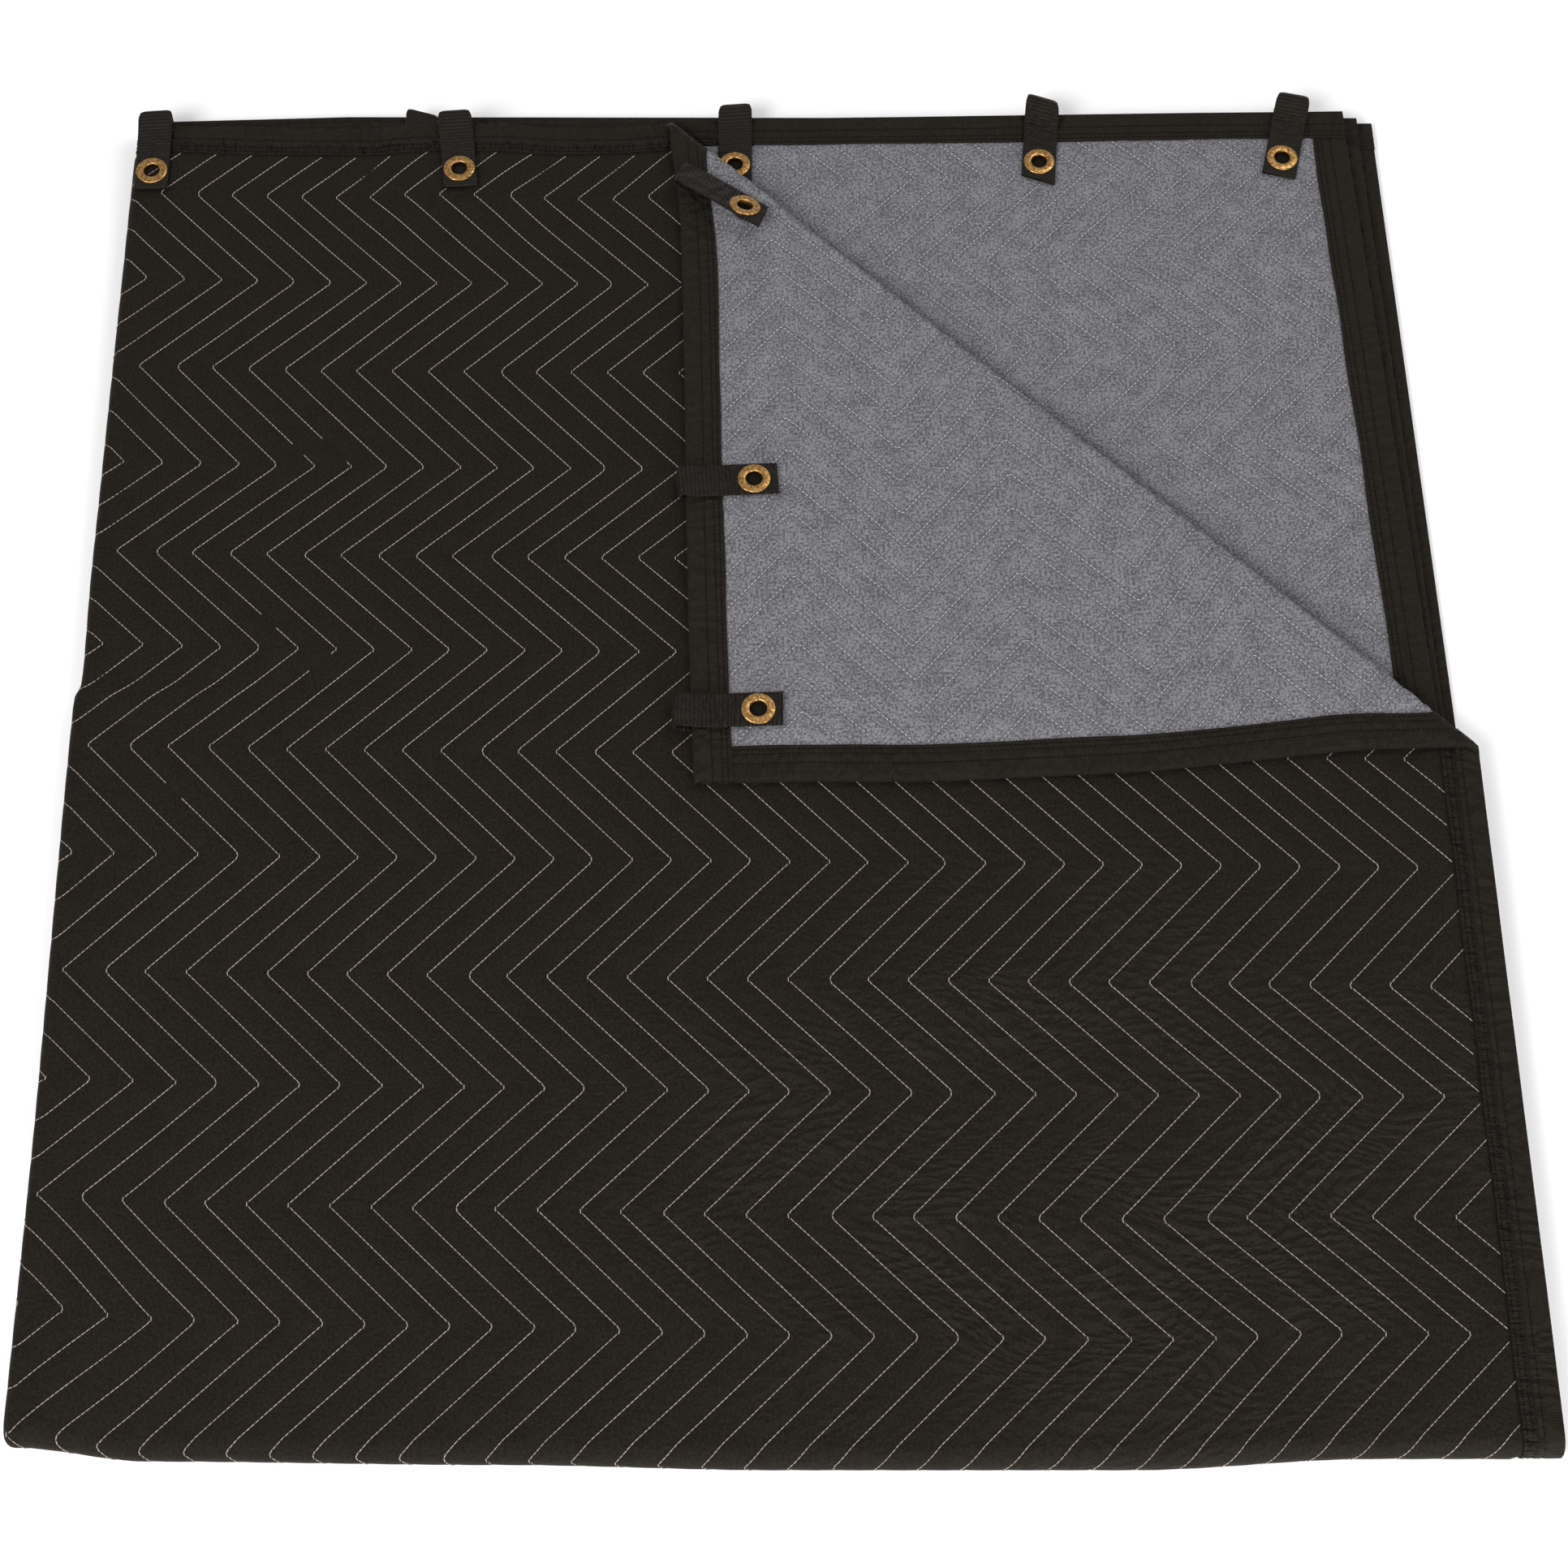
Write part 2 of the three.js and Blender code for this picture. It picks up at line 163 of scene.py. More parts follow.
def settleInPlan(x, y, corners):
    cx = max(0, x / cornerSpan[0])
    cy = max(0, y / cornerSpan[1])
    shares = ((1 - cx) * cy, cx * (1 - cy), cx * cy)
    shift = [sum(corner[k] * share for corner, share in zip(corners, shares)) for k in (0, 1)]
    shift[1] += edgeShift(frontEdge, x) * (1 - ease(y / frontReach))
    shift[0] += edgeShift(leftEdge, y) * (1 - ease(x / leftReach))
    return x + shift[0], y + shift[1]


def layerOf(u, v):
    t = v - fold["bAt"]
    s = u - fold["aAt"] + fold["aSlant"] * abs(t)
    if t > 0:
        return "top" if s > 0 else "second"
    return "bottom" if s > 0 else "third"


# From the flat sheet to the folded blanket, both in mm
def foldedPoint(u, v, w):
    t = v - fold["bAt"]
    slant = fold["aSlant"] * abs(t)
    s = u - fold["aAt"] + slant
    acrossAlong, acrossOff, acrossTilt = halfTurn(s, fold["pitch"] / 2)
    alongAlong, alongOff, alongTilt = halfTurn(t, fold["pitch"] + acrossOff)
    x = acrossAlong + w * acrossTilt[0] - slant
    y = alongAlong + w * acrossTilt[1] * alongTilt[0]
    z = alongOff + w * acrossTilt[1] * alongTilt[1]
    if alongAlong > 0:
        near = 1 - min(1, max(0, acrossAlong / leftReach))
        y += near * math.pi / 2 * acrossOff * alongAlong / cornerSpan[1]
    if s > 0 and t > 0 and acrossAlong > 0 and alongAlong > 0:
        x, y, z = rollCorner(x, y, z - w, w)
        z += lumpHeight(x, y)
    x, y = settleInPlan(x, y, layerCorners[layerOf(u, v)])
    return Vector((x + planShift[0], y + planShift[1], z + footLift))


# Slow, shallow swells over the stack, so that it isn't dead flat: their sizes, seeds and shares of the height
swells = [(190, 150, 3.1, 0.028), (70, 60, 8.4, 0.018)]


# Adds the swells and turns mm to metres
def settled(point):
    x, y, z = point
    lift = sum(share * noise.noise(Vector((x / wide, y / deep, seed))) for wide, deep, seed, share in swells)
    return Vector((x, y, z * (1 + lift))) / 1000


def sheetPoint(u, v, w):
    return settled(foldedPoint(u, v, w))


turnRows = list(quilting["turns"])
while turnRows[0] > -halfLength - quilting["beyondEdge"]:
    turnRows.insert(0, turnRows[0] - quilting["halfPeriod"])
while turnRows[-1] < halfLength + quilting["beyondEdge"]:
    turnRows.append(turnRows[-1] + quilting["halfPeriod"])
firstIsLeft = turnRows.index(quilting["turns"][0]) % 2 == 0


# Whether the legs of a row run to the right as they go back
def toRight(row):
    return (row % 2 == 0) == firstIsLeft


def swingAt(row, part):
    return quilting["swing"] * (part if toRight(row) else 1 - part)


# A quilting line's place across the sheet: straight legs with rounded corners, and a slight wander
def lineAcross(line, row, part):
    height = turnRows[row + 1] - turnRows[row]
    every = quilting["roundEvery"]
    nearRound = 1 - min(1, abs((line + 1 + every / 2) % every - every / 2))
    radius = quilting["corner"] + (quilting["roundCorner"] - quilting["corner"]) * nearRound
    fromStart, fromEnd = max(0, radius - part * height), max(0, radius - (1 - part) * height)
    inwards = (fromStart ** 2 - fromEnd ** 2) / (2 * radius) * quilting["swing"] / height
    wander = quilting["wander"] * noise.noise(Vector((line * 0.7, row + part, 5.2)))
    straight = quilting["firstLine"] + quilting["pitch"] * line + swingAt(row, part)
    straight += quilting["drift"] * ease(-line / quilting["driftOver"])
    return straight + (inwards if toRight(row) else -inwards) + wander


# How far the rows of turns drop towards one side
def rowDrop(u):
    drifted = ease(-u / quilting["pitch"] / quilting["driftOver"])
    return quilting["drop"] * (u - quilting["dropFrom"]) + quilting["driftDown"] * drifted


def quiltPoint(line, row, part):
    u = lineAcross(line, row, part)
    return u, turnRows[row] + (turnRows[row + 1] - turnRows[row]) * part - rowDrop(u)


# How far a point of the sheet is from the nearest quilting line
def fromLine(u, v):
    level = v + rowDrop(u)
    row = max(0, min(len(turnRows) - 2, bisect_right(turnRows, level) - 1))
    part = (level - turnRows[row]) / (turnRows[row + 1] - turnRows[row])
    near = round((u - quilting["firstLine"] - swingAt(row, part)) / quilting["pitch"])
    across = min(abs(u - lineAcross(line, row, part)) for line in (near - 1, near, near + 1))
    return across * quilting["squareOn"]


binding = {
    "width": 25.4, "taper": 5.3, "tape": 0.9, "gap": 0.3, "clothHalf": 1.3,
    "step": 4, "nose": 1.4, "wander": 1.2, "wanderOver": 60, "onTop": 3.6, "sunk": 0.45,
    "stations": [0, 4, 8, 11, 12.5, 14, 17.5, 19.2, 21, 22.8, 24.2, 25.4],  # across the tape from its fold
    "noseAngles": [0.35, 0.8, 1.57, 2.34, 2.79],
    "stitchRows": [22.8, 19.2, 12.5], "stitch": 3.4, "stitchSize": (0.7, 0.7, 2.9),
    "threadStep": 6, "threadSunk": 0.25,
}


# Half the cloth's thickness: pinched along the quilting lines and squeezed flat under the binding
def clothHalf(u, v):
    edgeIn = min(halfWidth - abs(u), halfLength - abs(v))
    free = ease((edgeIn - binding["width"] - binding["gap"]) / binding["taper"])
    pinch = (1 - min(1, fromLine(u, v) / blanket["puffReach"])) ** 2
    toFold = min(abs(v - fold["bAt"]), abs(u - fold["aAt"] + fold["aSlant"] * abs(v - fold["bAt"])))
    pinch *= blanket["foldPinch"] + (1 - blanket["foldPinch"]) * ease(toFold / blanket["smoothFold"])
    full = blanket["half"] + (blanket["stitchedHalf"] - blanket["half"]) * pinch
    return blanket["sewnHalf"] + (full - blanket["sewnHalf"]) * free


# Materials. Shared effects are node groups that give values and heights, and each material mixes its own.
def newGroup(name, inputs, outputs):
    group = bpy.data.node_groups.new(name, "ShaderNodeTree")
    for socketName, kind, value in inputs:
        socket = group.interface.new_socket(socketName, in_out="INPUT", socket_type="NodeSocket" + kind)
        if value is not None:
            socket.default_value = value
    for socketName in outputs:
        group.interface.new_socket(socketName, in_out="OUTPUT", socket_type="NodeSocketFloat")
    return group, group.nodes.new("NodeGroupInput"), group.nodes.new("NodeGroupOutput")


# Adds a node. The values for its inputs are plain, or the outputs of other nodes, which are linked.
def place(tree, kind, values=None, **settings):
    node = tree.nodes.new(kind)
    for key, value in settings.items():
        setattr(node, key, value)
    for key, value in (values or {}).items():
        if isinstance(value, bpy.types.NodeSocket):
            tree.links.new(value, node.inputs[key])
        else:
            node.inputs[key].default_value = value
    return node


def combine(tree, operation, *values):
    return place(tree, "ShaderNodeMath", dict(enumerate(values)), operation=operation).outputs[0]


def noiseAt(tree, vector, scale, detail=3, roughness=0.6, distortion=0):
    values = {"Vector": vector, "Scale": scale, "Detail": detail}
    values |= {"Roughness": roughness, "Distortion": distortion}
    return place(tree, "ShaderNodeTexNoise", values, noise_dimensions="2D").outputs["Fac"]


def stretched(tree, vector, scale, turn=0):
    values = {"Vector": vector, "Scale": scale, "Rotation": (0, 0, turn)}
    return place(tree, "ShaderNodeMapping", values).outputs["Vector"]


def spread(tree, value, low, high, outLow=0, outHigh=1):
    values = {"Value": value, "From Min": low, "From Max": high, "To Min": outLow, "To Max": outHigh}
    return place(tree, "ShaderNodeMapRange", values, interpolation_type="SMOOTHSTEP").outputs["Result"]


# Matted fibres: fine specks of light and dark, softer blotches, and a rough height
def feltGroup():
    tree, source, sink = newGroup(
        "mattedFibres",
        [("Place", "Vector", None), ("Fineness", "Float", 900), ("Blotch Size", "Float", 40)],
        ["Shade", "Height"],
    )
    where, fineness = source.outputs["Place"], source.outputs["Fineness"]
    specks = noiseAt(tree, where, fineness, 3, 0.7)
    fibres = noiseAt(tree, stretched(tree, where, (1, 0.25, 1), 0.6), fineness, 1, 0.5, 0.4)
    blotches = noiseAt(tree, where, source.outputs["Blotch Size"], 3, 0.6)
    mixed = combine(tree, "MULTIPLY_ADD", specks, 0.77, combine(tree, "MULTIPLY", fibres, 0.08))
    shade = combine(tree, "MULTIPLY_ADD", blotches, 0.15, mixed)
    tree.links.new(spread(tree, shade, 0.38, 0.62), sink.inputs["Shade"])
    tree.links.new(mixed, sink.inputs["Height"])
    return tree


# Small creases where cloth has been crumpled: thin ridges that wander
def crinkleGroup():
    tree, source, sink = newGroup(
        "crinkles",
        [("Place", "Vector", None), ("Scale", "Float", 60)],
        ["Height"],
    )
    where, fineness = source.outputs["Place"], source.outputs["Scale"]
    values = {"Vector": where, "Scale": 14, "Detail": 1}
    bent = place(tree, "ShaderNodeTexNoise", values, noise_dimensions="2D")
    moved = place(tree, "ShaderNodeVectorMath", {0: bent.outputs["Color"], "Scale": 0.05}, operation="SCALE")
    moved = place(tree, "ShaderNodeVectorMath", {0: where, 1: moved.outputs["Vector"]}, operation="ADD")
    wandering = moved.outputs["Vector"]
    values = {"Vector": wandering, "Scale": fineness, "Randomness": 1}
    ridges = place(tree, "ShaderNodeTexVoronoi", values, voronoi_dimensions="2D")
    soft = noiseAt(tree, wandering, fineness, 3, 0.55)
    tree.links.new(combine(tree, "ADD", ridges.outputs["Distance"], soft), sink.inputs["Height"])
    return tree


# Woven ribs across a tape or strap, in the piece's own along and across coordinates
def ribGroup():
    tree, source, sink = newGroup(
        "wovenRibs",
        [("Place", "Vector", None), ("Ribs Per Metre", "Float", 700), ("Yarns Per Metre", "Float", 1300)],
        ["Height", "Shade"],
    )
    where = source.outputs["Place"]
    parts = place(tree, "ShaderNodeSeparateXYZ", {"Vector": where}).outputs
    ribs = combine(tree, "MULTIPLY", parts["X"], source.outputs["Ribs Per Metre"])
    ribs = combine(tree, "SINE", combine(tree, "MULTIPLY_ADD", ribs, math.tau, noiseAt(tree, where, 90, 2)))
    yarns = combine(tree, "MULTIPLY", parts["Y"], source.outputs["Yarns Per Metre"])
    yarns = combine(tree, "SINE", combine(tree, "MULTIPLY", yarns, math.tau))
    height = combine(tree, "MULTIPLY_ADD", yarns, 0.2, ribs)
    tree.links.new(spread(tree, height, -1.4, 1.4), sink.inputs["Height"])
    tree.links.new(noiseAt(tree, where, 260, 4, 0.7), sink.inputs["Shade"])
    return tree


felt, crinkles, wovenRibs = feltGroup(), crinkleGroup(), ribGroup()


def newMaterial(name, roughness, sheen=0, metallic=0, gloss=0.5):
    material = bpy.data.materials.new(name)
    material.use_nodes = True
    tree = material.node_tree
    shader = tree.nodes["Principled BSDF"]
    shader.inputs["Roughness"].default_value = roughness
    shader.inputs["Metallic"].default_value = metallic
    shader.inputs["Sheen Weight"].default_value = sheen
    shader.inputs["Sheen Roughness"].default_value = 0.45
    shader.inputs["Specular IOR Level"].default_value = gloss
    return material, tree, shader


def useGroup(tree, group, where, values):
    return place(tree, "ShaderNodeGroup", {"Place": where, **values}, node_tree=group).outputs


def colourBetween(tree, shader, factor, dark, light):
    values = {"Factor": factor, "A": (*dark, 1), "B": (*light, 1)}
    mix = place(tree, "ShaderNodeMix", values, data_type="RGBA")
    tree.links.new(mix.outputs["Result"], shader.inputs["Base Color"])


# Lays heights one on another, each with its depth
def bumpFrom(tree, shader, *heights):
    below = {}
    for height, depth in heights:
        bump = place(tree, "ShaderNodeBump", {"Strength": 1, "Distance": depth, "Height": height, **below})
        below = {"Normal": bump.outputs["Normal"]}
    tree.links.new(below["Normal"], shader.inputs["Normal"])


# How far inside a soft-edged patch of the sheet a point lies, from 0 to 1
def patchMask(tree, where, centre, size, softness):
    node = place(tree, "ShaderNodeMapping", {
        "Vector": where,
        "Location": tuple(-c / s for c, s in zip((*centre, 0), (*size, 1))),
        "Scale": (1 / size[0], 1 / size[1], 0),
    })
    length = place(tree, "ShaderNodeVectorMath", {0: node.outputs["Vector"]}, operation="LENGTH")
    return spread(tree, length.outputs["Value"], 1, 1 - softness)


# Colours are linear and run from dark to light. Depths of relief are in metres.
clothLook = {
    "black": {
        "shades": ((0.0028, 0.0022, 0.0016), (0.0092, 0.0074, 0.0056)),
        "crumpled": 1.0, "seamShade": 0.85,
    },
    "grey": {"shades": ((0.074, 0.0735, 0.082), (0.214, 0.212, 0.230)), "crumpled": 0.2, "seamShade": 0.55},
    "glossTint": (1, 0.86, 0.70, 1),
    "crinkled": (0.66, 0.20, 0.42, 0.27),  # the crumpled patch near the front right: centre and half sizes
    "everywhere": 0.16,                    # crumpling outside it
    "matt": 0.8, "rubbed": 0.64,           # roughness outside and inside it
    "crinkleDepth": 0.0024, "feltDepth": 0.0007,
    "felt": {"Fineness": 560, "Blotch Size": 55}, "creases": 170,
    "fleckScale": 150, "flecks": (0.22, 0.27, 0.3, 1),
    "rubScale": 11, "rubs": (0.38, 0.6, 0.35, 1),
    # the painted shadow under each eyelet: its colour and radius
    "paintedEyeletShadow": (0.004, 0.0035, 0.003, 1), "eyeletShadowRadius": 0.0125,
}
tapeLook = {
    "binding": {
        "shades": ((0.0048, 0.0039, 0.0028), (0.0150, 0.0124, 0.0093)),
        "ribs": 620, "depth": 0.00015, "puckers": 0.009, "paintedRibShade": 0.1, "roughness": 0.75,
    },
    "webbing": {
        "shades": ((0.003, 0.0025, 0.002), (0.0145, 0.0125, 0.0105)),
        "ribs": 360, "depth": 0.0006, "puckers": 0.0004, "paintedRibShade": 0.6, "roughness": 0.5,
    },
    "creaseDepth": 0.003, "yarnsPerRib": 1.7,
    "puckerScale": (260, 60, 1), "waveScale": (9, 330, 1), "creases": 130,
    "sewnSide": (0.010, 0.007),  # the puckers fade between these distances from the inner edge
}
threadFelt = {"Fineness": 1400, "Blotch Size": 35}
threadLook = {  # shades and gloss
    "tan": (((0.165, 0.14, 0.116), (0.40, 0.35, 0.30)), 0.3),
    "grey": (((0.23, 0.228, 0.24), (0.50, 0.495, 0.51)), 0.3),
    "dark": (((0.002, 0.0016, 0.0012), (0.007, 0.0058, 0.0046)), 0.05),
}
brassLook = {"clean": (0.60, 0.345, 0.12), "tarnished": (0.2, 0.105, 0.036)}


# Painted shadows under the eyelets: dark spots on the grey cloth, so that the holes look dark inside; their
# places on the sheet are found once the loops are placed
def paintEyeletShadows(material, spots):
    tree, radius = material.node_tree, clothLook["eyeletShadowRadius"]
    base = tree.nodes["Principled BSDF"].inputs["Base Color"]
    sheet = place(tree, "ShaderNodeUVMap", uv_map="sheet").outputs["UV"]
    shadowMask = None
    for spot in spots:
        mask = patchMask(tree, sheet, spot, (radius, radius), 0.35)
        shadowMask = combine(tree, "MAXIMUM", shadowMask, mask) if shadowMask else mask
    values = {"Factor": shadowMask, "A": base.links[0].from_socket, "B": clothLook["paintedEyeletShadow"]}
    mix = place(tree, "ShaderNodeMix", values, data_type="RGBA")
    tree.links.new(mix.outputs["Result"], base)


def clothMaterial(name, look):
    material, tree, shader = newMaterial(name, clothLook["matt"], sheen=0.02, gloss=0.19)
    shader.inputs["Specular Tint"].default_value = clothLook["glossTint"]
    sheet = place(tree, "ShaderNodeUVMap", uv_map="sheet").outputs["UV"]
    fibres = useGroup(tree, felt, sheet, clothLook["felt"])
    flecks = spread(tree, noiseAt(tree, sheet, clothLook["fleckScale"], 2, 0.5), *clothLook["flecks"])
    # painted shade along the quilting lines, darkening the grooves the stitches pull in
    pressed = place(tree, "ShaderNodeAttribute", attribute_name="pressed").outputs["Fac"]
    pressed = spread(tree, pressed, 0, 1, 1, look["seamShade"])
    shade = combine(tree, "MULTIPLY", fibres["Shade"], combine(tree, "MULTIPLY", flecks, pressed))
    colourBetween(tree, shader, shade, *look["shades"])
    slanted = stretched(tree, sheet, (0.6, 1, 1), 0.5)
    creased = useGroup(tree, crinkles, slanted, {"Scale": clothLook["creases"]})
    u, v, wide, deep = clothLook["crinkled"]
    mask = patchMask(tree, sheet, (u, v), (wide, deep), 0.75)
    rubs = spread(tree, noiseAt(tree, sheet, clothLook["rubScale"], 2), *clothLook["rubs"])
    mask = combine(tree, "MULTIPLY", mask, rubs)
    crumpled = combine(tree, "MULTIPLY_ADD", mask, look["crumpled"], clothLook["everywhere"])
    roughness = spread(tree, mask, 0, 1, clothLook["matt"], clothLook["rubbed"])
    tree.links.new(roughness, shader.inputs["Roughness"])
    bumpFrom(
        tree, shader,
        (combine(tree, "MULTIPLY", creased["Height"], crumpled), clothLook["crinkleDepth"]),
        (fibres["Height"], clothLook["feltDepth"]),
    )
    return material


def tapeMaterial(name, look):
    material, tree, shader = newMaterial(name, look["roughness"], sheen=0.02, gloss=0.14)
    shader.inputs["Specular Tint"].default_value = clothLook["glossTint"]
    along = place(tree, "ShaderNodeUVMap", uv_map="strip").outputs["UV"]
    counts = {"Ribs Per Metre": look["ribs"], "Yarns Per Metre": look["ribs"] * tapeLook["yarnsPerRib"]}
    woven = useGroup(tree, wovenRibs, along, counts)
    slanted = stretched(tree, along, (1, 0.6, 1), 0.7)
    creased = useGroup(tree, crinkles, slanted, {"Scale": tapeLook["creases"]})
    parts = place(tree, "ShaderNodeSeparateXYZ", {"Vector": along}).outputs
    sewnSide = spread(tree, parts["Y"], *tapeLook["sewnSide"])
    pulled = noiseAt(tree, stretched(tree, along, tapeLook["puckerScale"]), 1, 2, 0.5)
    pulled = combine(tree, "MULTIPLY", pulled, sewnSide)
    lengthwise = noiseAt(tree, stretched(tree, along, tapeLook["waveScale"]), 1, 3, 0.6)
    # the ribs' tops are painted lighter and their hollows darker: painted light and shade on the ribs
    shade = combine(tree, "MULTIPLY", woven["Shade"], 1 - look["paintedRibShade"])
    shade = combine(tree, "MULTIPLY_ADD", woven["Height"], look["paintedRibShade"], shade)
    colourBetween(tree, shader, shade, *look["shades"])
    bumpFrom(
        tree, shader,
        (creased["Height"], tapeLook["creaseDepth"]), (lengthwise, look["puckers"] / 10),
        (pulled, look["puckers"]), (woven["Height"], look["depth"]),
    )
    return material


def threadMaterial(name, shades, gloss):
    material, tree, shader = newMaterial(name, 0.62, sheen=gloss / 5, gloss=gloss)
    where = place(tree, "ShaderNodeTexCoord").outputs["Object"]
    fibres = useGroup(tree, felt, where, threadFelt)
    colourBetween(tree, shader, fibres["Shade"], *shades)
    bumpFrom(tree, shader, (fibres["Height"], 0.0003))
    return material


def brassMaterial():
    material, tree, shader = newMaterial("brass", 0.28, metallic=1)
    where = place(tree, "ShaderNodeTexCoord").outputs["Object"]
    tarnish = noiseAt(tree, where, 420, 5, 0.75)
    specks = spread(tree, noiseAt(tree, where, 1500, 2, 0.5), 0.60, 0.72)
    worn = combine(tree, "MAXIMUM", spread(tree, tarnish, 0.42, 0.62), specks)
    colourBetween(tree, shader, worn, brassLook["clean"], brassLook["tarnished"])
    tree.links.new(spread(tree, tarnish, 0.4, 0.65, 0.22, 0.5), shader.inputs["Roughness"])
    bumpFrom(tree, shader, (tarnish, 0.0002))
    return material


blackCloth = clothMaterial("blackCloth", clothLook["black"])
greyCloth = clothMaterial("greyCloth", clothLook["grey"])
bindingBlack = tapeMaterial("bindingTape", tapeLook["binding"])
webbingBlack = tapeMaterial("webbing", tapeLook["webbing"])
brass = brassMaterial()
tanThread = threadMaterial("tanThread", *threadLook["tan"])
greyThread = threadMaterial("greyThread", *threadLook["grey"])
darkThread = threadMaterial("darkThread", *threadLook["dark"])
print("materials made")

# The quilted cloth. A flat mesh whose columns run along the quilting lines is cut where the folds
# bend, then both faces of it are carried to the folded blanket.
clothMesh = {
    "columns": [0, 0.16, 0.5, 0.84],  # between two quilting lines
    "backRows": [0, 0.06, 0.17, 0.5, 0.83, 0.94],  # between two turns, on the two layers that show
    "lumpRows": [0, 0.06, 0.17, 0.28, 0.39, 0.5, 0.61, 0.72, 0.83, 0.94],  # at the foot of the lumps
    "frontRows": [0, 0.5],
    "foldSteps": 8,
    "creaseSteps": 9,
    "edgeInset": 1.5,
    "grooveShadeReach": 3.2,  # how far from a stitching line the painted shade of its groove reaches
}


def cutFlat(flat, point, normal, half=0, clear=False):
    faces = [f for f in flat.faces if half == 0 or (f.calc_center_median().y - fold["bAt"]) * half > 0]
    parts = {e for f in faces for e in f.edges} | {v for f in faces for v in f.verts}
    bmesh.ops.bisect_plane(
        flat, geom=[*faces, *parts], dist=0.02, clear_outer=clear,
        plane_co=(*point, 0), plane_no=(*normal, 0),
    )


def flatCloth():
    flat = bmesh.new()
    first = math.floor((-halfWidth - quilting["firstLine"] - quilting["swing"]) / quilting["pitch"])
    last = math.ceil((halfWidth - quilting["firstLine"]) / quilting["pitch"])
    columns = [line + part for line in range(first, last) for part in clothMesh["columns"]]
    rows = []
    for row in range(len(turnRows) - 1):
        fineness = "backRows" if turnRows[row] > 0 else "frontRows"
        if turnRows[row] < lumpBack - lumps[0]["depth"] < turnRows[row + 1]:
            fineness = "lumpRows"
        rows += [(row, part) for part in clothMesh[fineness]]
    grid = [[flat.verts.new((*quiltPoint(line, row, part), 0)) for line in columns] for row, part in rows]
    for low, high in zip(grid, grid[1:]):
        for k in range(len(columns) - 1):
            flat.faces.new((low[k], low[k + 1], high[k + 1], high[k]))
    tucked = binding["width"] + binding["gap"]
    for side in (1, -1):
        cutFlat(flat, (side * (halfWidth - clothMesh["edgeInset"]), 0), (side, 0), clear=True)
        cutFlat(flat, (0, side * (halfLength - clothMesh["edgeInset"])), (0, side), clear=True)
        for edge in (tucked, tucked + binding["taper"]):
            cutFlat(flat, (side * (halfWidth - edge), 0), (1, 0))
            cutFlat(flat, (0, side * (halfLength - edge)), (0, 1))
    cutFlat(flat, (0, fold["bAt"]), (0, 1))
    inner = math.pi / 4 * fold["pitch"]
    outer = 3 * inner
    count = clothMesh["foldSteps"]
    for half in (1, -1):
        for k in range(count + 1):
            s = inner * (2 * k / count - 1)
            cutFlat(flat, (fold["aAt"] + s, fold["bAt"]), (1, half * fold["aSlant"]), half)
            if k > 0:
                cutFlat(flat, (0, fold["bAt"] + half * outer * k / count), (0, 1))
    start = Vector(fold["creaseBack"]) + Vector((fold["aAt"] + inner, fold["bAt"] + outer))
    for k in range(clothMesh["creaseSteps"] + 1):
        past = creaseArc * k / clothMesh["creaseSteps"] + fold["creaseStart"]
        cutFlat(flat, start + creaseNormal * past, creaseNormal, 1)
    return flat


def sheetMesh(name, flat):
    flat.verts.index_update()
    points, places, pressed = [], [], []
    for vert in flat.verts:
        u, v = vert.co.x, vert.co.y
        half = clothHalf(u, v)
        # painted shade near the quilting lines, kept as a point attribute
        pressed += [max(0, 1 - fromLine(u, v) / clothMesh["grooveShadeReach"])] * 2
        points += [sheetPoint(u, v, half), sheetPoint(u, v, -half)]
        places.append((u / 1000, v / 1000))
    faces, corners, slots = [], [], []
    for face in flat.faces:
        ring = [vert.index for vert in face.verts]
        faces += [[2 * k for k in ring], [2 * k + 1 for k in reversed(ring)]]
        corners += ring + ring[::-1]
        slots += [0, 1]
    for edge in flat.edges:
        if edge.is_boundary:
            loop = edge.link_loops[0]
            a, b = loop.vert.index, loop.link_loop_next.vert.index
            faces.append([2 * b, 2 * a, 2 * a + 1, 2 * b + 1])
            corners += [b, a, a, b]
            slots.append(0)
    mesh = bpy.data.meshes.new(name)
    mesh.from_pydata(points, [], faces)
    mesh.uv_layers.new(name="sheet").data.foreach_set("uv", [value for k in corners for value in places[k]])
    mesh.attributes.new("pressed", "FLOAT", "POINT").data.foreach_set("value", pressed)
    mesh.polygons.foreach_set("material_index", slots)
    return mesh


def newPiece(name, mesh, materials, nodes=()):
    for material in materials:
        mesh.materials.append(material)
    mesh.shade_smooth()
    piece = bpy.data.objects.new(name, mesh)
    bpy.context.scene.collection.objects.link(piece)
    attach(piece, "root")
    if nodes:
        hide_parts(*nodes)
    return piece


flat = flatCloth()
clothBody = sheetMesh("quiltedCloth", flat)
cloth = newPiece("quiltedCloth", clothBody, [blackCloth, greyCloth], ["quilted_cloth"])
flat.free()
print("quilted cloth", len(cloth.data.polygons), "faces")


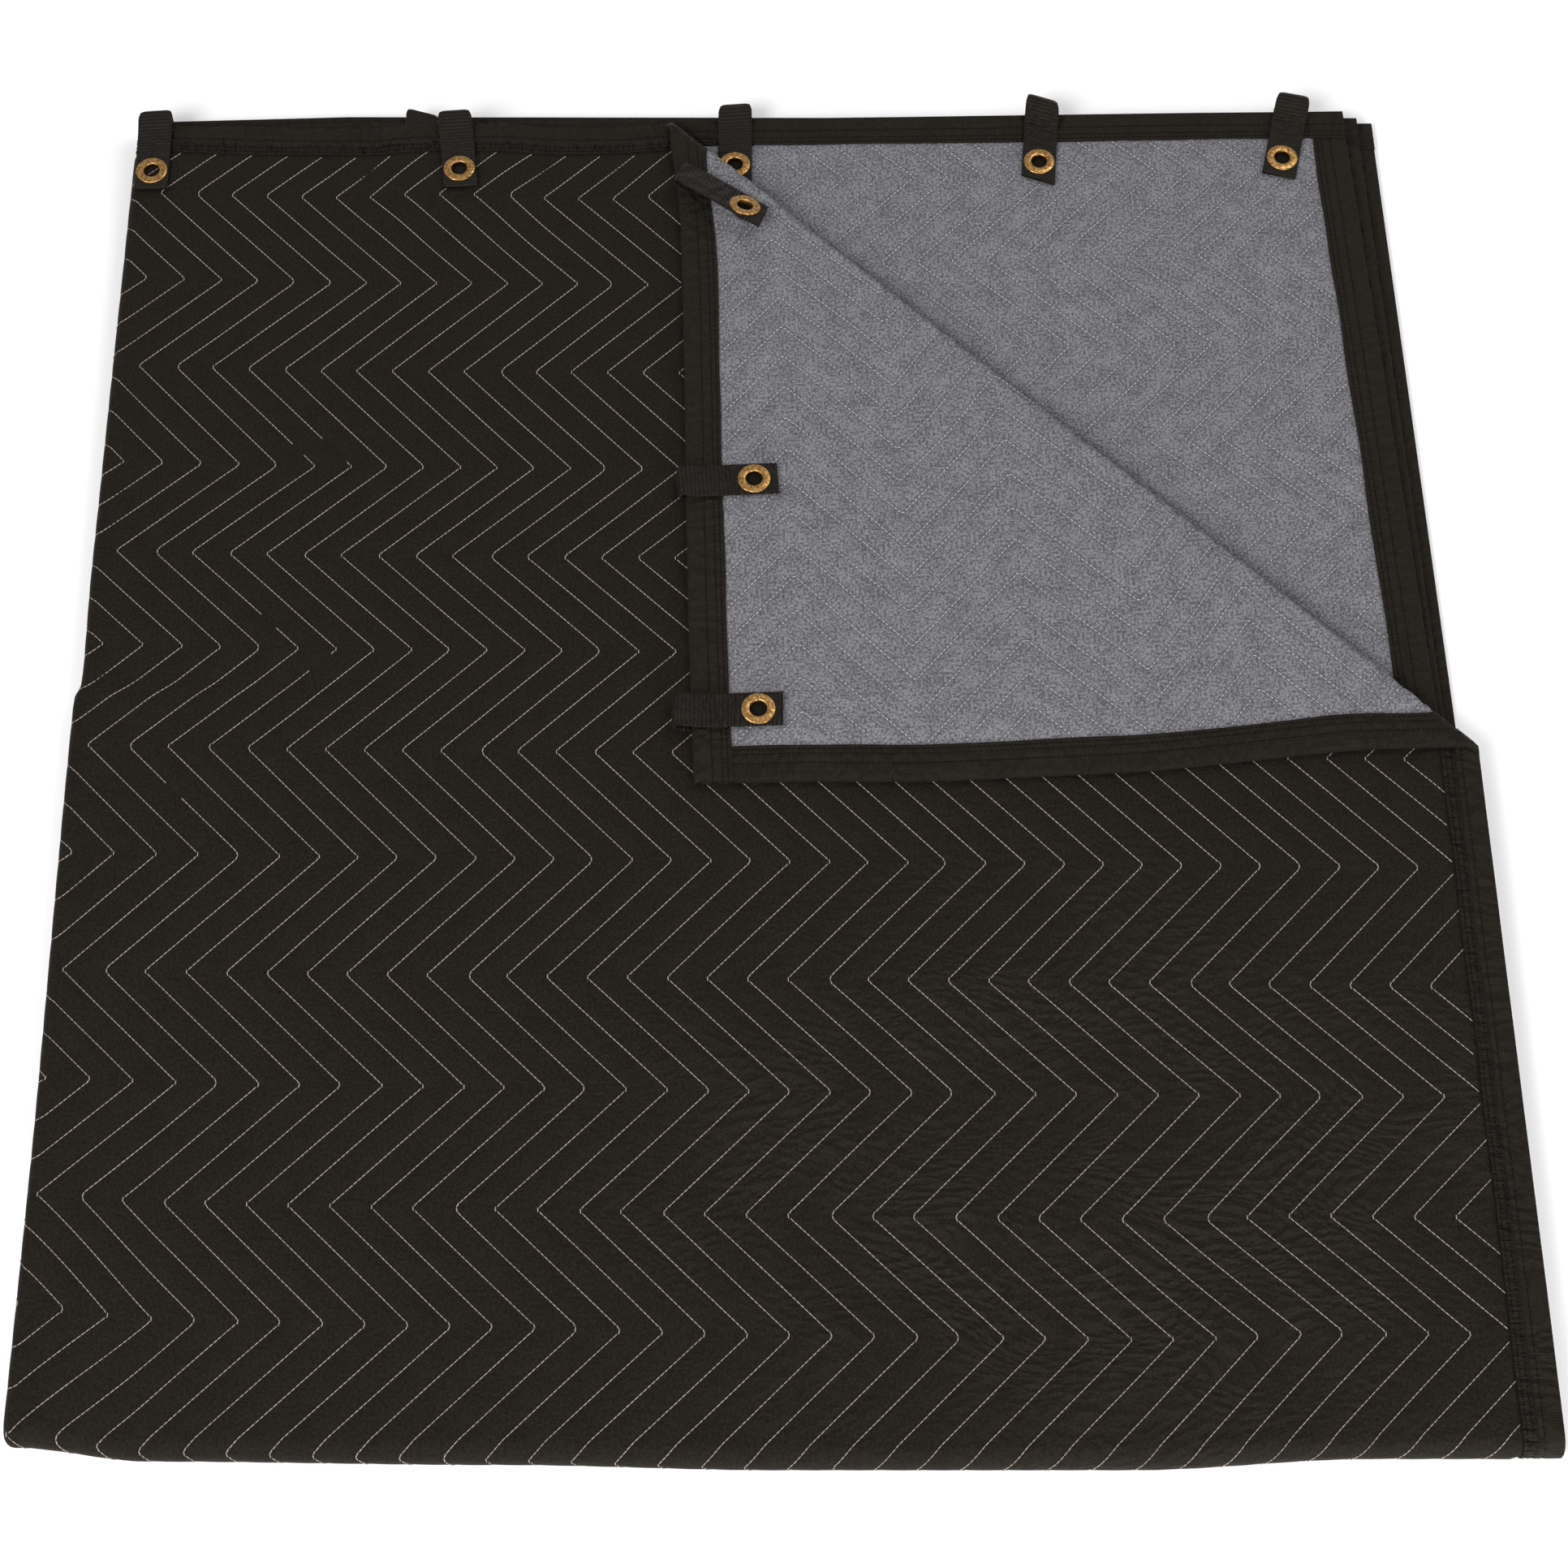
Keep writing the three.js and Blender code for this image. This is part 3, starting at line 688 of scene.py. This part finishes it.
# Closed tube of faces between rings of points, with both ends capped, and its own along and around UV
def stripMesh(name, rings, alongs, arounds):
    count = len(rings[0])
    points = [point for ring in rings for point in ring]
    faces, places = [], []
    for k in range(len(rings) - 1):
        for j in range(count):
            near, far = k * count, (k + 1) * count
            nextOne = (j + 1) % count
            faces.append([near + j, near + nextOne, far + nextOne, far + j])
            corners = ((k, j), (k, j + 1), (k + 1, j + 1), (k + 1, j))
            places += [(alongs[ring], arounds[turn]) for ring, turn in corners]
    last = (len(rings) - 1) * count
    faces += [list(range(count))[::-1], [last + j for j in range(count)]]
    places += [(alongs[0], arounds[j]) for j in reversed(range(count))]
    places += [(alongs[-1], arounds[j]) for j in range(count)]
    mesh = bpy.data.meshes.new(name)
    mesh.from_pydata(points, [], faces)
    mesh.uv_layers.new(name="strip").data.foreach_set("uv", [value for pair in places for value in pair])
    return mesh


def lengthsAlong(points):
    total, found = 0, [0]
    for a, b in zip(points, points[1:]):
        total += (Vector(b) - Vector(a)).length
        found.append(total)
    return found


# The binding: a tape folded over the edge, as (inwards from the edge, through the cloth)
def tapeSection():
    inner = binding["clothHalf"] + binding["gap"]
    outer = inner + binding["tape"]
    inward = binding["stations"]
    heights = {d: outer - (binding["sunk"] if d in binding["stitchRows"] else 0) for d in inward}
    top = [(d, heights[d]) for d in reversed(inward[1:])]
    nose = [(binding["nose"] * (1 - math.sin(a)), outer * math.cos(a)) for a in binding["noseAngles"]]
    under = [(d, -heights[d]) for d in inward[1:]]
    lining = [*inward[1::4], binding["width"]]
    inside = [(d, -inner) for d in reversed(lining)] + [(d, inner) for d in lining]
    return top + nose + under + inside


def tapeRings(edge, start, stop):
    section = tapeSection()
    count = round((stop - start) / binding["step"])
    rings, middle = [], []
    for k in range(count + 1):
        at = start + (stop - start) * k / count
        ring = []
        for d, w in section:
            swing = binding["wander"] * noise.noise(Vector((at / binding["wanderOver"], edge[2], 1.7)))
            wavy = d + swing * (d / binding["width"])
            ring.append(sheetPoint(*edgePlace(edge, at, wavy), w))
        rings.append(ring)
        middle.append(at / 1000)
    around = [value / 1000 for value in lengthsAlong([(d, w, 0) for d, w in section + section[:1]])]
    return rings, middle, around


# A place on the sheet, given from an edge, which is its axis, its side and a number of its own
def edgePlace(edge, at, inwards):
    axis, side, _ = edge
    reach = side * ((halfLength if axis == "v" else halfWidth) - inwards)
    return (at, reach) if axis == "v" else (reach, at)


def closedOutwards(mesh):
    work = bmesh.new()
    work.from_mesh(mesh)
    bmesh.ops.recalc_face_normals(work, faces=work.faces)
    work.to_mesh(mesh)
    work.free()
    return mesh


sideStop = halfLength - binding["width"] - binding["gap"]
tapes = {
    "binding_top_edge": (("v", 1, 1), -halfWidth, halfWidth),
    "binding_bottom_edge": (("v", -1, 2), -halfWidth, halfWidth),
    "binding_right_edge": (("u", 1, 3), -sideStop, sideStop),
    "binding_left_edge": (("u", -1, 4), -sideStop, sideStop),
}
for node, (edge, start, stop) in tapes.items():
    name = "".join(word.title() if k else word for k, word in enumerate(node.split("_")))
    mesh = closedOutwards(stripMesh(name, *tapeRings(edge, start, stop)))
    newPiece(name, mesh, [bindingBlack], [node])
print("binding sewn round the edges")


# Hanging loops: each one's place on the sheet, turn, reach, rise, rest and back as in the CAD part,
# then its skew and tilt
loops = {
    "1_left_fold": (-10, 2, 9, 8, 4.9, 62, 1, 0),
    "2_top_layer": (212, 7, 9, 8, 4.9, 61, -1, 0),
    "3_trapped": (-233, 0, 7, 4.9, 4.9, 62, -9, 0),
    "4_second_layer": (-464, -2, 9, 9, 4.9, 63, 2, 0),
    "5_second_layer": (-691, -7, 10, 12, 4.9, 64, -7, 0),
    "6_second_layer": (-876, -15, 11, 11, 4.9, 64, 0, 0),
    "7_turned_corner": (424, -38, -4, 9.5, 10.5, 79, 8, 20),
    "8_turned_corner": (686, 0, 5, 6.5, 4.9, 64, 1, 0),
    "9_turned_corner": (864, 1, 12, 9, 4.9, 61, -1, 0),
}
strap = {
    "width": 25, "thickness": 1.6, "edgeRound": 0.5, "touchDown": 16, "tuck": 1.2, "probe": 20,
    "narrowed": 0.1, "softCorner": 1.6,  # how the edges draw in round the bend
    "bendSteps": 14, "backSteps": 22, "acrossSteps": 12,
}
eyelet = {
    "barrel": 6.2, "fromEnd": 16.5, "sides": 48, "punchSides": 32,
    "seenPast": 0.4,  # how far back the painted shadow under a raised eyelet lies, as a share of its height
    # the outline of the brass as (from the middle, above the strap's middle), from the hole round the top
    "outline": [
        (5.7, -1.9), (5.7, 0.8), (5.8, 1.3), (6.2, 1.7), (7.0, 1.95), (8.4, 1.95), (10.0, 1.8),
        (11.0, 1.55), (11.4, 1.25), (11.5, 1.0), (11.3, 0.8), (6.2, 0.8), (6.2, -0.8), (11.5, -0.8),
        (11.5, -1.4), (10.9, -1.7), (7.0, -1.95), (5.8, -2.0),
    ],
}


# A loop's sewn root, its outward and sideways directions, and the way its face looks
def loopPlace(loop):
    u, turn, tilt = loop[0], math.radians(loop[1]), math.radians(loop[7])
    root = foldedPoint(u, halfLength, 0)
    out = root - foldedPoint(u, halfLength - strap["probe"], 0)
    out = Vector((out.x, out.y, 0)).normalized()
    level = out.cross(Vector((0, 0, 1)))
    turned = out * math.cos(turn) - level * math.sin(turn)
    level, up = turned.cross(Vector((0, 0, 1))), Vector((0, 0, 1))
    side = level * math.cos(tilt) - up * math.sin(tilt)
    return root, turned, side, up * math.cos(tilt) + level * math.sin(tilt)


def eyeletPlace(loop):
    root, out, side, face = loopPlace(loop)
    return root + out * (eyelet["fromEnd"] - loop[5]) + Vector((0, 0, loop[4])), out, side, face


# The strap's line seen from its side, as (outwards, up) points
def strapLine(loop):
    reach, rise, rest, back = loop[2:6]
    low = 0 if reach > 0 else binding["onTop"]  # a loop that bends short of the edge lies on the binding
    radius = (rise - low) / 2
    line = [(min(-strap["tuck"], reach - radius - strap["tuck"]), low)]
    for k in range(strap["bendSteps"] + 1):
        angle = math.pi * (k / strap["bendSteps"] - 0.5)
        line.append((reach - radius + radius * math.cos(angle), low + radius + radius * math.sin(angle)))
    for k in range(1, strap["backSteps"] + 1):
        x = (reach - radius) * (1 - k / strap["backSteps"]) - back * k / strap["backSteps"]
        down = ease((reach - radius - x) / (abs(reach - radius) + strap["touchDown"]))
        line.append((x, rest + (rise - rest) * (1 - down)))
    return line


def strapMesh(name, loop):
    root, out, side, face = loopPlace(loop)
    reach, rise, skew = loop[2], loop[3], loop[6]
    line = strapLine(loop)
    section = strapSection(strap["thickness"] / 2)
    rings = []
    for k, (x, z) in enumerate(line):
        before, after = line[max(0, k - 1)], line[min(len(line) - 1, k + 1)]
        along = Vector((after[0] - before[0], after[1] - before[1])).normalized()
        bent, leant = ease((x - reach) / rise + 1), ease(k / strap["bendSteps"])
        ring = []
        for s, w in section:
            share = s / strap["width"] * 2
            px = x - along.y * w + leant * skew * share / 2 - bent * strap["softCorner"] * share ** 8
            wide = s * (1 - strap["narrowed"] * bent)
            ring.append(settled(root + out * px + side * wide + Vector((0, 0, z)) + face * along.x * w))
        rings.append(ring)
    around = [value / 1000 for value in lengthsAlong([(s, w, 0) for s, w in section + section[:1]])]
    alongs = [value / 1000 for value in lengthsAlong([(x, z, 0) for x, z in line])]
    return closedOutwards(stripMesh(name, rings, alongs, around))


def strapSection(half):
    count = strap["acrossSteps"]
    edge = strap["width"] / 2
    flatHalf = edge - strap["edgeRound"]
    top = [(flatHalf * (2 * k / count - 1), half) for k in range(count + 1)]
    return top + [(edge, 0)] + [(s, -w) for s, w in reversed(top)] + [(-edge, 0)]


def eyeletMesh(name, loop):
    middle, out, side, face = eyeletPlace(loop)
    outline = eyelet["outline"]
    rings = []
    for k in range(eyelet["sides"]):
        angle = 2 * math.pi * k / eyelet["sides"]
        spoke = out * math.cos(angle) + side * math.sin(angle)
        rings.append([settled(middle + spoke * r + face * h) for r, h in outline])
    count = len(outline)
    faces = []
    for k in range(eyelet["sides"]):
        near, far = k * count, (k + 1) % eyelet["sides"] * count
        for j in range(count):
            faces.append([near + j, near + (j + 1) % count, far + (j + 1) % count, far + j])
    mesh = bpy.data.meshes.new(name)
    mesh.from_pydata([point for ring in rings for point in ring], [], faces)
    return closedOutwards(mesh)


# Cuts the eyelet's hole through a strap
def punched(mesh, loop):
    middle, _, _, face = eyeletPlace(loop)
    radius = eyelet["barrel"] / 1000
    punch = bmesh.new()
    bmesh.ops.create_cone(
        punch, cap_ends=True, segments=eyelet["punchSides"], radius1=radius, radius2=radius, depth=radius,
    )
    bmesh.ops.rotate(punch, verts=punch.verts, matrix=face.to_track_quat("Z", "Y").to_matrix())
    bmesh.ops.translate(punch, verts=punch.verts, vec=settled(middle))
    cutter = bpy.data.objects.new("punch", bpy.data.meshes.new("punch"))
    punch.to_mesh(cutter.data)
    punch.free()
    work = bpy.data.objects.new("work", mesh)
    for obj in (cutter, work):
        bpy.context.scene.collection.objects.link(obj)
    cut = work.modifiers.new("hole", "BOOLEAN")
    cut.operation = "DIFFERENCE"
    cut.solver = "EXACT"
    cut.object = cutter
    result = bpy.data.meshes.new_from_object(work.evaluated_get(bpy.context.evaluated_depsgraph_get()))
    for obj in (cutter, work):
        bpy.data.objects.remove(obj)
    return result


# The place on the grey face straight under an eyelet, where its shadow is painted, in the sheet's own UV
def paintedEyeletShadow(loop):
    spot = settled(eyeletPlace(loop)[0] + Vector((0, eyelet["seenPast"] * loop[4], 0)))
    mesh = cloth.data
    _, below, _, index = cloth.closest_point_on_mesh(spot)
    corners = mesh.polygons[index].loop_indices
    shares = poly_3d_calc([mesh.vertices[mesh.loops[k].vertex_index].co for k in corners], below)
    places = [mesh.uv_layers["sheet"].data[k].uv * share for k, share in zip(corners, shares)]
    return tuple(sum(places, Vector((0, 0))))


for key, loop in loops.items():
    strapName, ringName = "hangingLoop_" + key, "brassEyelet_" + key
    holed = punched(strapMesh(strapName, loop), loop)
    newPiece(strapName, holed, [webbingBlack], ["loop_" + key])
    newPiece(ringName, eyeletMesh(ringName, loop), [brass], ["grommet_" + key])
eyeletShadowSpots = [paintedEyeletShadow(loop) for loop in loops.values()]
paintEyeletShadows(greyCloth, eyeletShadowSpots)
print("hanging loops and eyelets", len(loops))


# Stitches. Lines of thread are laid as bare edges, and Geometry Nodes sets a stitch at each step.
def stitchTree():
    tree = bpy.data.node_groups.new("runOfStitches", "GeometryNodeTree")
    sockets = {}
    wanted = [
        ("Lines", "NodeSocketGeometry", "INPUT"), ("Pitch", "NodeSocketFloat", "INPUT"),
        ("Size", "NodeSocketVector", "INPUT"), ("Thread", "NodeSocketMaterial", "INPUT"),
        ("Stitches", "NodeSocketGeometry", "OUTPUT"),
    ]
    for name, kind, direction in wanted:
        sockets[name] = tree.interface.new_socket(name, in_out=direction, socket_type=kind).identifier
    given, sink = tree.nodes.new("NodeGroupInput").outputs, tree.nodes.new("NodeGroupOutput")
    curve = place(tree, "GeometryNodeMeshToCurve", {"Mesh": given["Lines"]}).outputs["Curve"]
    values = {"Curve": curve, "Length": given["Pitch"]}
    evenly = place(tree, "GeometryNodeResampleCurve", values, mode="LENGTH")
    bead = place(tree, "GeometryNodeMeshUVSphere", {"Segments": 4, "Rings": 3, "Radius": 0.5}).outputs["Mesh"]
    shaped = place(tree, "GeometryNodeTransform", {"Geometry": bead, "Scale": given["Size"]})
    tangent = place(tree, "GeometryNodeInputTangent").outputs["Tangent"]
    turned = place(tree, "FunctionNodeAlignEulerToVector", {"Vector": tangent}, axis="Z")
    laid = place(tree, "GeometryNodeInstanceOnPoints", {
        "Points": evenly.outputs["Curve"],
        "Instance": shaped.outputs["Geometry"],
        "Rotation": turned.outputs["Rotation"],
    })
    real = place(tree, "GeometryNodeRealizeInstances", {"Geometry": laid.outputs["Instances"]})
    made = {"Geometry": real.outputs["Geometry"], "Material": given["Thread"]}
    painted = place(tree, "GeometryNodeSetMaterial", made)
    tree.links.new(painted.outputs["Geometry"], sink.inputs["Stitches"])
    return tree, sockets


stitches, stitchSockets = stitchTree()


def sewn(name, runs, pitch, size, thread):
    points = [point for run in runs for point in run]
    edges, first = [], 0
    for run in runs:
        edges += [(k, k + 1) for k in range(first, first + len(run) - 1)]
        first += len(run)
    mesh = bpy.data.meshes.new(name + "Lines")
    mesh.from_pydata(points, edges, [])
    lines = bpy.data.objects.new(name + "Lines", mesh)
    bpy.context.scene.collection.objects.link(lines)
    run = lines.modifiers.new("stitches", "NODES")
    run.node_group = stitches
    run[stitchSockets["Pitch"]] = pitch / 1000
    run[stitchSockets["Size"]] = tuple(value / 1000 for value in size)
    run[stitchSockets["Thread"]] = thread
    made = bpy.data.meshes.new_from_object(lines.evaluated_get(bpy.context.evaluated_depsgraph_get()))
    bpy.data.objects.remove(lines)
    made.materials.clear()
    newPiece(name, made, [thread])
    print(name, len(made.polygons), "faces")


# Whether a face of the cloth shows at a place on the sheet, or lies within a few mm of where it does
def clothShows(u, v, face):
    layer = layerOf(u, v)
    quarter = math.pi / 4 * fold["pitch"]
    tucked = quilting["tuckedUnder"]
    x, y = u - fold["aAt"] - quarter, v - fold["bAt"] - 3 * quarter
    past = pastCrease(x, y)
    if face > 0:
        if layer in ("second", "third"):
            return u - fold["aAt"] + fold["aSlant"] * abs(v - fold["bAt"]) > -quarter
        if layer == "bottom":
            return True
        if past > fold["creaseRadius"] * 2:
            return False
        beyond = Vector((x, y)) + (creaseArc - 2 * past) * creaseNormal
        return max(beyond.x - cornerSpan[0], beyond.y - cornerSpan[1]) > -tucked
    if layer == "top":
        return past > fold["creaseRadius"]
    if layer == "second":
        across, along = -(u - fold["aAt"]) - quarter, v - fold["bAt"] - quarter
        across -= 2 * fold["aSlant"] * (v - fold["bAt"])
        return pastCrease(across, along) > fold["creaseRadius"] - tucked
    return False


# Splits a row of points into unbroken runs at the places that have none
def unbroken(points):
    runs, run = [], []
    for point in [*points, None]:
        if point is not None:
            run.append(point)
            continue
        if len(run) > 1:
            runs.append(run)
        run = []
    return runs


def quiltRuns(face, half):
    runs = []
    highest = blanket["half"] - quilting["thread"] / 2 if half < 0 else blanket["half"] * 2
    # grey thread is left out over the painted eyelet shadows
    covered = [Vector(shadowSpot) * 1000 for shadowSpot in eyeletShadowSpots if face < 0]
    count = math.ceil(halfWidth / quilting["pitch"])
    before, after = quilting["spareLines"]
    clear = binding["width"] + quilting["fromBinding"]
    frontRow = turnRows.index(quilting["turns"][0])

    def threadPoint(line, row, part):
        u, v = quiltPoint(line, row, part)
        if abs(u) >= halfWidth - clear or abs(v) >= halfLength - clear or (v - fold["bAt"]) * half <= 0:
            return None
        gaps = [gap[2:] for gap in quilting["broken"] if gap[:2] == (line, row - frontRow) and face > 0]
        if any(low < part < high for low, high in gaps) or not clothShows(u, v, face):
            return None
        if any((spot - Vector((u, v))).length <= quilting["clearOfEyelet"] for spot in covered):
            return None
        return sheetPoint(u, v, face * min(clothHalf(u, v) + quilting["threadLift"], highest))

    parts = [k / quilting["steps"] for k in range(quilting["steps"])]
    for line in range(-count - before, count + after):
        runs += unbroken([threadPoint(line, row, part) for row in range(len(turnRows) - 1) for part in parts])
    return runs


size = (quilting["thread"], quilting["thread"], quilting["stitchLength"])
sewn("quiltingThreadTop", quiltRuns(1, 1), quilting["stitch"], size, tanThread)
size = (quilting["thread"], quilting["thread"], quilting["underStitchLength"])
sewn("quiltingThreadUnder", quiltRuns(1, -1), quilting["underStitch"], size, tanThread)
size = (quilting["greyThread"], quilting["greyThread"], quilting["greyStitchLength"])
sewn("quiltingThreadGrey", quiltRuns(-1, 1), quilting["stitch"], size, greyThread)


# Rows of dark stitches that hold the binding, on the faces that show
def bindingRuns():
    runs = []
    lift = binding["clothHalf"] + binding["gap"] + binding["tape"] - binding["threadSunk"]
    for edge, start, stop in tapes.values():
        count = round((stop - start) / binding["threadStep"])
        steps = [start + (stop - start) * k / count for k in range(count + 1)]
        for face in (1, -1):
            for inwards in binding["stitchRows"]:
                spots = [edgePlace(edge, at, inwards) for at in steps]
                runs += unbroken([
                    sheetPoint(u, v, face * lift) if clothShows(u, v, face) else None for u, v in spots
                ])
    return runs


sewn("bindingThread", bindingRuns(), binding["stitch"], binding["stitchSize"], darkThread)

# Camera at the photograph's place, a pale floor and soft light
view = {
    "place": (0.00502, -0.77967, 1.5513),
    "below": 65,                                  # degrees down from level
    "focal": 3160, "picture": 1932, "shift": 11,  # in pixels
    "sensor": 36,                                 # mm
}
camera = bpy.data.objects.new("camera", bpy.data.cameras.new("camera"))
camera.location = view["place"]
camera.rotation_euler = (math.radians(90 - view["below"]), 0, 0)
camera.data.lens = view["focal"] * view["sensor"] / view["picture"]
camera.data.shift_x = view["shift"] / view["picture"]
bpy.context.scene.collection.objects.link(camera)
bpy.context.scene.camera = camera
bpy.context.scene.view_settings.view_transform = "Standard"

floorMesh = bpy.data.meshes.new("floor")
floorHalf = 6
floorCorners = [(x * floorHalf, y * floorHalf, 0) for x, y in ((-1, -1), (1, -1), (1, 1), (-1, 1))]
floorMesh.from_pydata(floorCorners, [], [(0, 1, 2, 3)])
floorPale, _, floorShader = newMaterial("paleFloor", 0.9)
floorShader.inputs["Base Color"].default_value = (0.96, 0.96, 0.96, 1)
floorMesh.materials.append(floorPale)
floor = bpy.data.objects.new("floor", floorMesh)
bpy.context.scene.collection.objects.link(floor)

studio = {"air": 0.55, "lights": {  # where each light is, how wide, and its power
    "frontLeft": ((-1.5, -1.5, 2.3), 1.3, 66),
    "backRight": ((1.1, 0.9, 2.0), 0.9, 13),
    "frontRight": ((1.1, -2.0, 0.55), 0.8, 32),
}}
world = bpy.data.worlds.new("studio")
bpy.context.scene.world = world
world.use_nodes = True
world.node_tree.nodes["Background"].inputs["Color"].default_value = (1, 1, 1, 1)
world.node_tree.nodes["Background"].inputs["Strength"].default_value = studio["air"]
for name, (spot, size, power) in studio["lights"].items():
    lamp = bpy.data.lights.new(name, "AREA")
    lamp.size = size
    lamp.energy = power
    light = bpy.data.objects.new(name, lamp)
    light.location = spot
    light.rotation_euler = (-Vector(spot)).to_track_quat("-Z", "Y").to_euler()
    bpy.context.scene.collection.objects.link(light)
print("camera, floor and light set")
